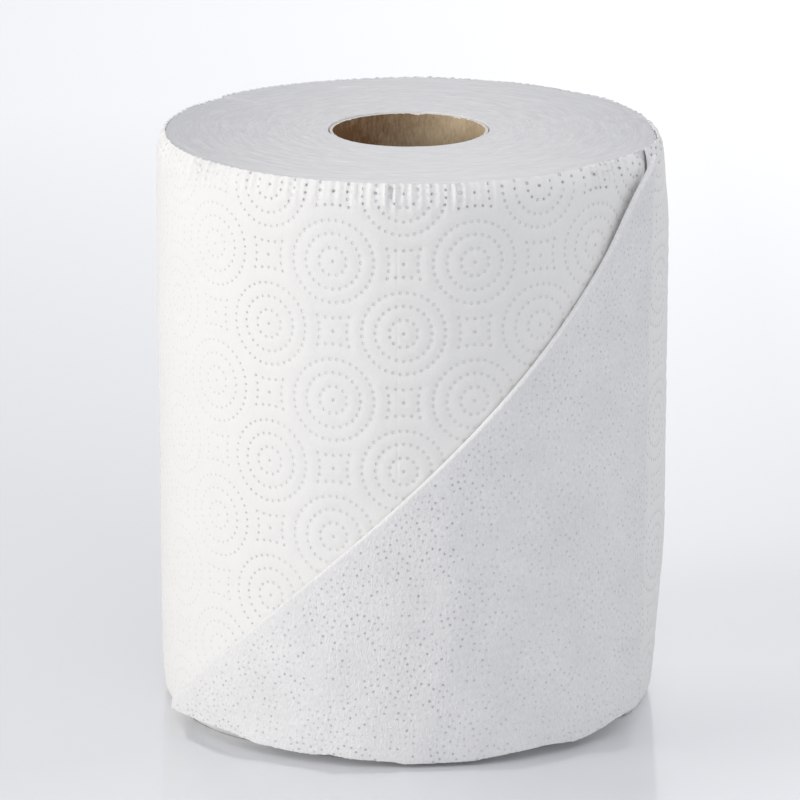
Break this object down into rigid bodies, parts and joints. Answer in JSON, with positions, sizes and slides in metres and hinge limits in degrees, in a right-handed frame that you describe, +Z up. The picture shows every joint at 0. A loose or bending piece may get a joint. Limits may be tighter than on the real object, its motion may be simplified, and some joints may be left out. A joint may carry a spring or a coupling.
{
  "type": "paper towel roll",
  "caption": "Large embossed paper towel roll standing on end, wound on a cardboard core, its loose end folded out over a diagonal crease.",
  "frame": {"origin": "on the axis of the core, at the base that the roll stands on", "axes": "+Z up along the core's axis; -Y is the front, where the loose end is folded over; +X is to the right"},
  "size_m": [0.2017, 0.2002, 0.23],
  "materials": {
    "tissue_paper": "matte",
    "core_board": "matte"
  },
  "bodies": {
    "root": {"paper_roll": "tissue_paper", "cardboard_core": "core_board"}
  },
  "joints": []
}
